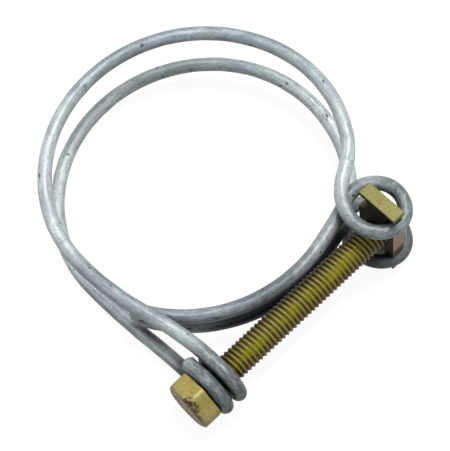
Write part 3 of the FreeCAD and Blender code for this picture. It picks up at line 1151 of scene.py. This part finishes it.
@dataclass(frozen=True)
class BarNut:
    """Flat bar nut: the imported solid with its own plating."""

    node: str = "bar_nut"

    def dress(self) -> bpy.types.Object:
        """Give the nut its finish.

        Returns:
            The nut.
        """
        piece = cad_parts[self.node]
        finish = PlainPlate(
            "yellow_nut", gold="7f7d4b", olive="72723f", bloom="7b6a50", stain="4a4424",
            zones=(
                Zone((0.0, -1.0, 0.0), 38.70, 38.78, "b08f7c", 0.85),
                # Painted shade, with grime: the lower part of the -y face darkened.
                Zone((0.0, -0.985, -0.17), 38.55, 38.78, "1a1b10", 0.85),
                # Painted shade: the nut's neck darkened where the wire loops wrap round it.
                Zone((0.0, 1.0, 0.0), -33.9, -32.6, "2a2615", 0.7),
                Zone((0.0, 0.0, 1.0), 8.5, 9.5, "7f7d4b", 0.9),
                # Painted shade: the -x face, turned away from the light, nearly black.
                Zone((-1.0, 0.0, 0.0), -16.22, -16.16, "0c0a05", 0.97),
                # Painted shade, with grime: the lower end darkened.
                Zone((0.0, 0.0, -1.0), 9.4, 9.9, "2b2c28", 0.95)),
            spots=(Spot((17.5, -34.0, 11.35), 0.95, "74503c", 0.5),),
            gloss=0.15, bloom_share=0.45, stain_low=0.66)
        piece.data.materials.clear()
        piece.data.materials.append(finish.build())
        return piece


@dataclass(frozen=True)
class Lamp:
    """Soft square lamp, placed in metres right of, above and before the object, as seen."""

    name: str
    place: Triple
    size: float
    power: float


@dataclass(frozen=True)
class Studio:
    """Pale floor, plain soft lamps and the camera at the photograph's viewing angle."""

    frame_width: float = 450.0
    frame_height: float = 451.0
    focal_pixels: float = 1382.99
    distance: float = 280.88
    elevation: float = 64.376
    azimuth: float = -120.565
    roll: float = -13.958
    axis_column: float = 198.993
    axis_row: float = 177.375
    sensor: float = 36.0
    floor_half: float = 3000.0
    floor_grey: Colour = (0.12, 0.12, 0.12, 1.0)
    floor_glow: float = 0.92
    sky_shown: float = 1.0
    sky_lit: float = 0.2
    rests_on: tuple[Triple, ...] = (
        (16.375, -38.575, -11.36), (-30.612, 0.0, -7.66), (16.375, -29.825, -11.36))
    lamps: tuple[Lamp, ...] = (
        Lamp("key_lamp", (0.08, 0.55, 0.72), 0.35, 8.5),
        Lamp("left_lamp", (-0.75, 0.1, 0.5), 0.5, 2.2),
        Lamp("right_lamp", (0.75, 0.1, 0.5), 0.5, 1.6),
    )

    def basis(self) -> Matrix:
        """Right, up and backward directions of the camera, as columns."""
        raised, round_z, rolled = (
            math.radians(angle) for angle in (self.elevation, self.azimuth, self.roll))
        back = Vector((
            math.cos(raised) * math.cos(round_z), math.cos(raised) * math.sin(round_z),
            math.sin(raised)))
        level = Vector((-math.sin(round_z), math.cos(round_z), 0.0))
        steep = back.cross(level)
        right = level * math.cos(rolled) + steep * math.sin(rolled)
        up = steep * math.cos(rolled) - level * math.sin(rolled)
        return Matrix((right, up, back)).transposed()

    def camera(self) -> None:
        """Set up the camera."""
        basis = self.basis()
        over = (self.axis_column - self.frame_width / 2.0) / self.focal_pixels * self.distance
        down = (self.axis_row - self.frame_height / 2.0) / self.focal_pixels * self.distance
        lens = bpy.data.cameras.new("camera")
        lens.sensor_fit = "HORIZONTAL"
        lens.sensor_width = self.sensor
        lens.lens = self.focal_pixels / self.frame_width * self.sensor
        lens.clip_start = 0.01
        lens.clip_end = 20.0
        stand = linked("camera", lens)
        place = basis @ Vector((-over, down, self.distance)) * MM
        stand.matrix_world = Matrix.Translation(place) @ basis.to_4x4()
        bpy.context.scene.camera = stand

    def light(self, lamp: Lamp) -> None:
        """Add a lamp that looks at the object.

        Args:
            lamp: What to add.
        """
        data = bpy.data.lights.new(lamp.name, "AREA")
        data.shape = "SQUARE"
        data.size = lamp.size
        data.energy = lamp.power
        made = linked(lamp.name, data)
        place = self.basis() @ Vector(lamp.place)
        aimed = place.to_track_quat("Z", "Y").to_matrix().to_4x4()
        made.matrix_world = Matrix.Translation(place) @ aimed

    @staticmethod
    def close(graph: Graph, output: str, unseen: Term, seen: Term) -> None:
        """Close a tree whose shader differs between rays that show it and all others.

        Args:
            graph: The tree.
            output: Type of its output node.
            unseen: Shader for the light that it sheds.
            seen: Shader for rays of the camera, of gloss and of glass.
        """
        path = graph.node("ShaderNodeLightPath")
        shows = path.term("Is Camera Ray").at_least(path.term("Is Glossy Ray"))
        shows = shows.at_least(path.term("Is Transmission Ray"))
        both = graph.node("ShaderNodeMixShader", {}, {0: shows, 1: unseen, 2: seen})
        graph.node(output, {}, {"Surface": both.term(0)})

    def world(self) -> None:
        """White backdrop for the eye and for gloss, and a plain level of light."""
        graph = Graph(bpy.data.worlds.new("studio"))
        lit, shown = (
            graph.node("ShaderNodeBackground", {}, {"Color": WHITE, "Strength": strength}).term(0)
            for strength in (self.sky_lit, self.sky_shown))
        self.close(graph, "ShaderNodeOutputWorld", lit, shown)
        bpy.context.scene.world = graph.owner

    def floor(self) -> None:
        """Lay the floor through the three places that the object rests on."""
        nut, left, right = (Vector(place) for place in self.rests_on)
        normal = (right - nut).cross(left - nut).normalized()
        along = (right - left).normalized()
        across = normal.cross(along)
        centre = (nut + left + right) / 3.0
        corners = [
            (centre + (along * i + across * j) * self.floor_half) * MM
            for i, j in ((-1, -1), (1, -1), (1, 1), (-1, 1))]
        mesh = bpy.data.meshes.new("floor")
        mesh.from_pydata(corners, [], [(0, 1, 2, 3)])
        piece = linked("floor", mesh)
        graph = Graph(bpy.data.materials.new("floor"))
        matt = graph.node("ShaderNodeBsdfDiffuse", {}, {"Color": self.floor_grey}).term(0)
        glow = graph.node(
            "ShaderNodeEmission", {}, {"Color": WHITE, "Strength": self.floor_glow}).term(0)
        lifted = graph.node("ShaderNodeAddShader", {}, {0: matt, 1: glow}).term(0)
        self.close(graph, "ShaderNodeOutputMaterial", matt, lifted)
        mesh.materials.append(graph.owner)

    def build(self) -> None:
        """Set up the whole stage."""
        bpy.context.scene.view_settings.view_transform = "Standard"
        self.camera()
        self.world()
        self.floor()
        for lamp in self.lamps:
            self.light(lamp)


def report(piece: bpy.types.Object) -> None:
    """Log a finished piece with its count of faces."""
    LOG.info("%s: %d faces", piece.name, len(piece.data.polygons))


def main() -> None:
    """Build the clamp's pieces in order, then the stage around them."""
    logging.basicConfig(level=logging.INFO, format="%(name)s %(message)s")
    Studio().build()
    report(WireBand().build())
    report(Screw().build())
    report(BarNut().dress())


if __name__ == "__main__":
    main()
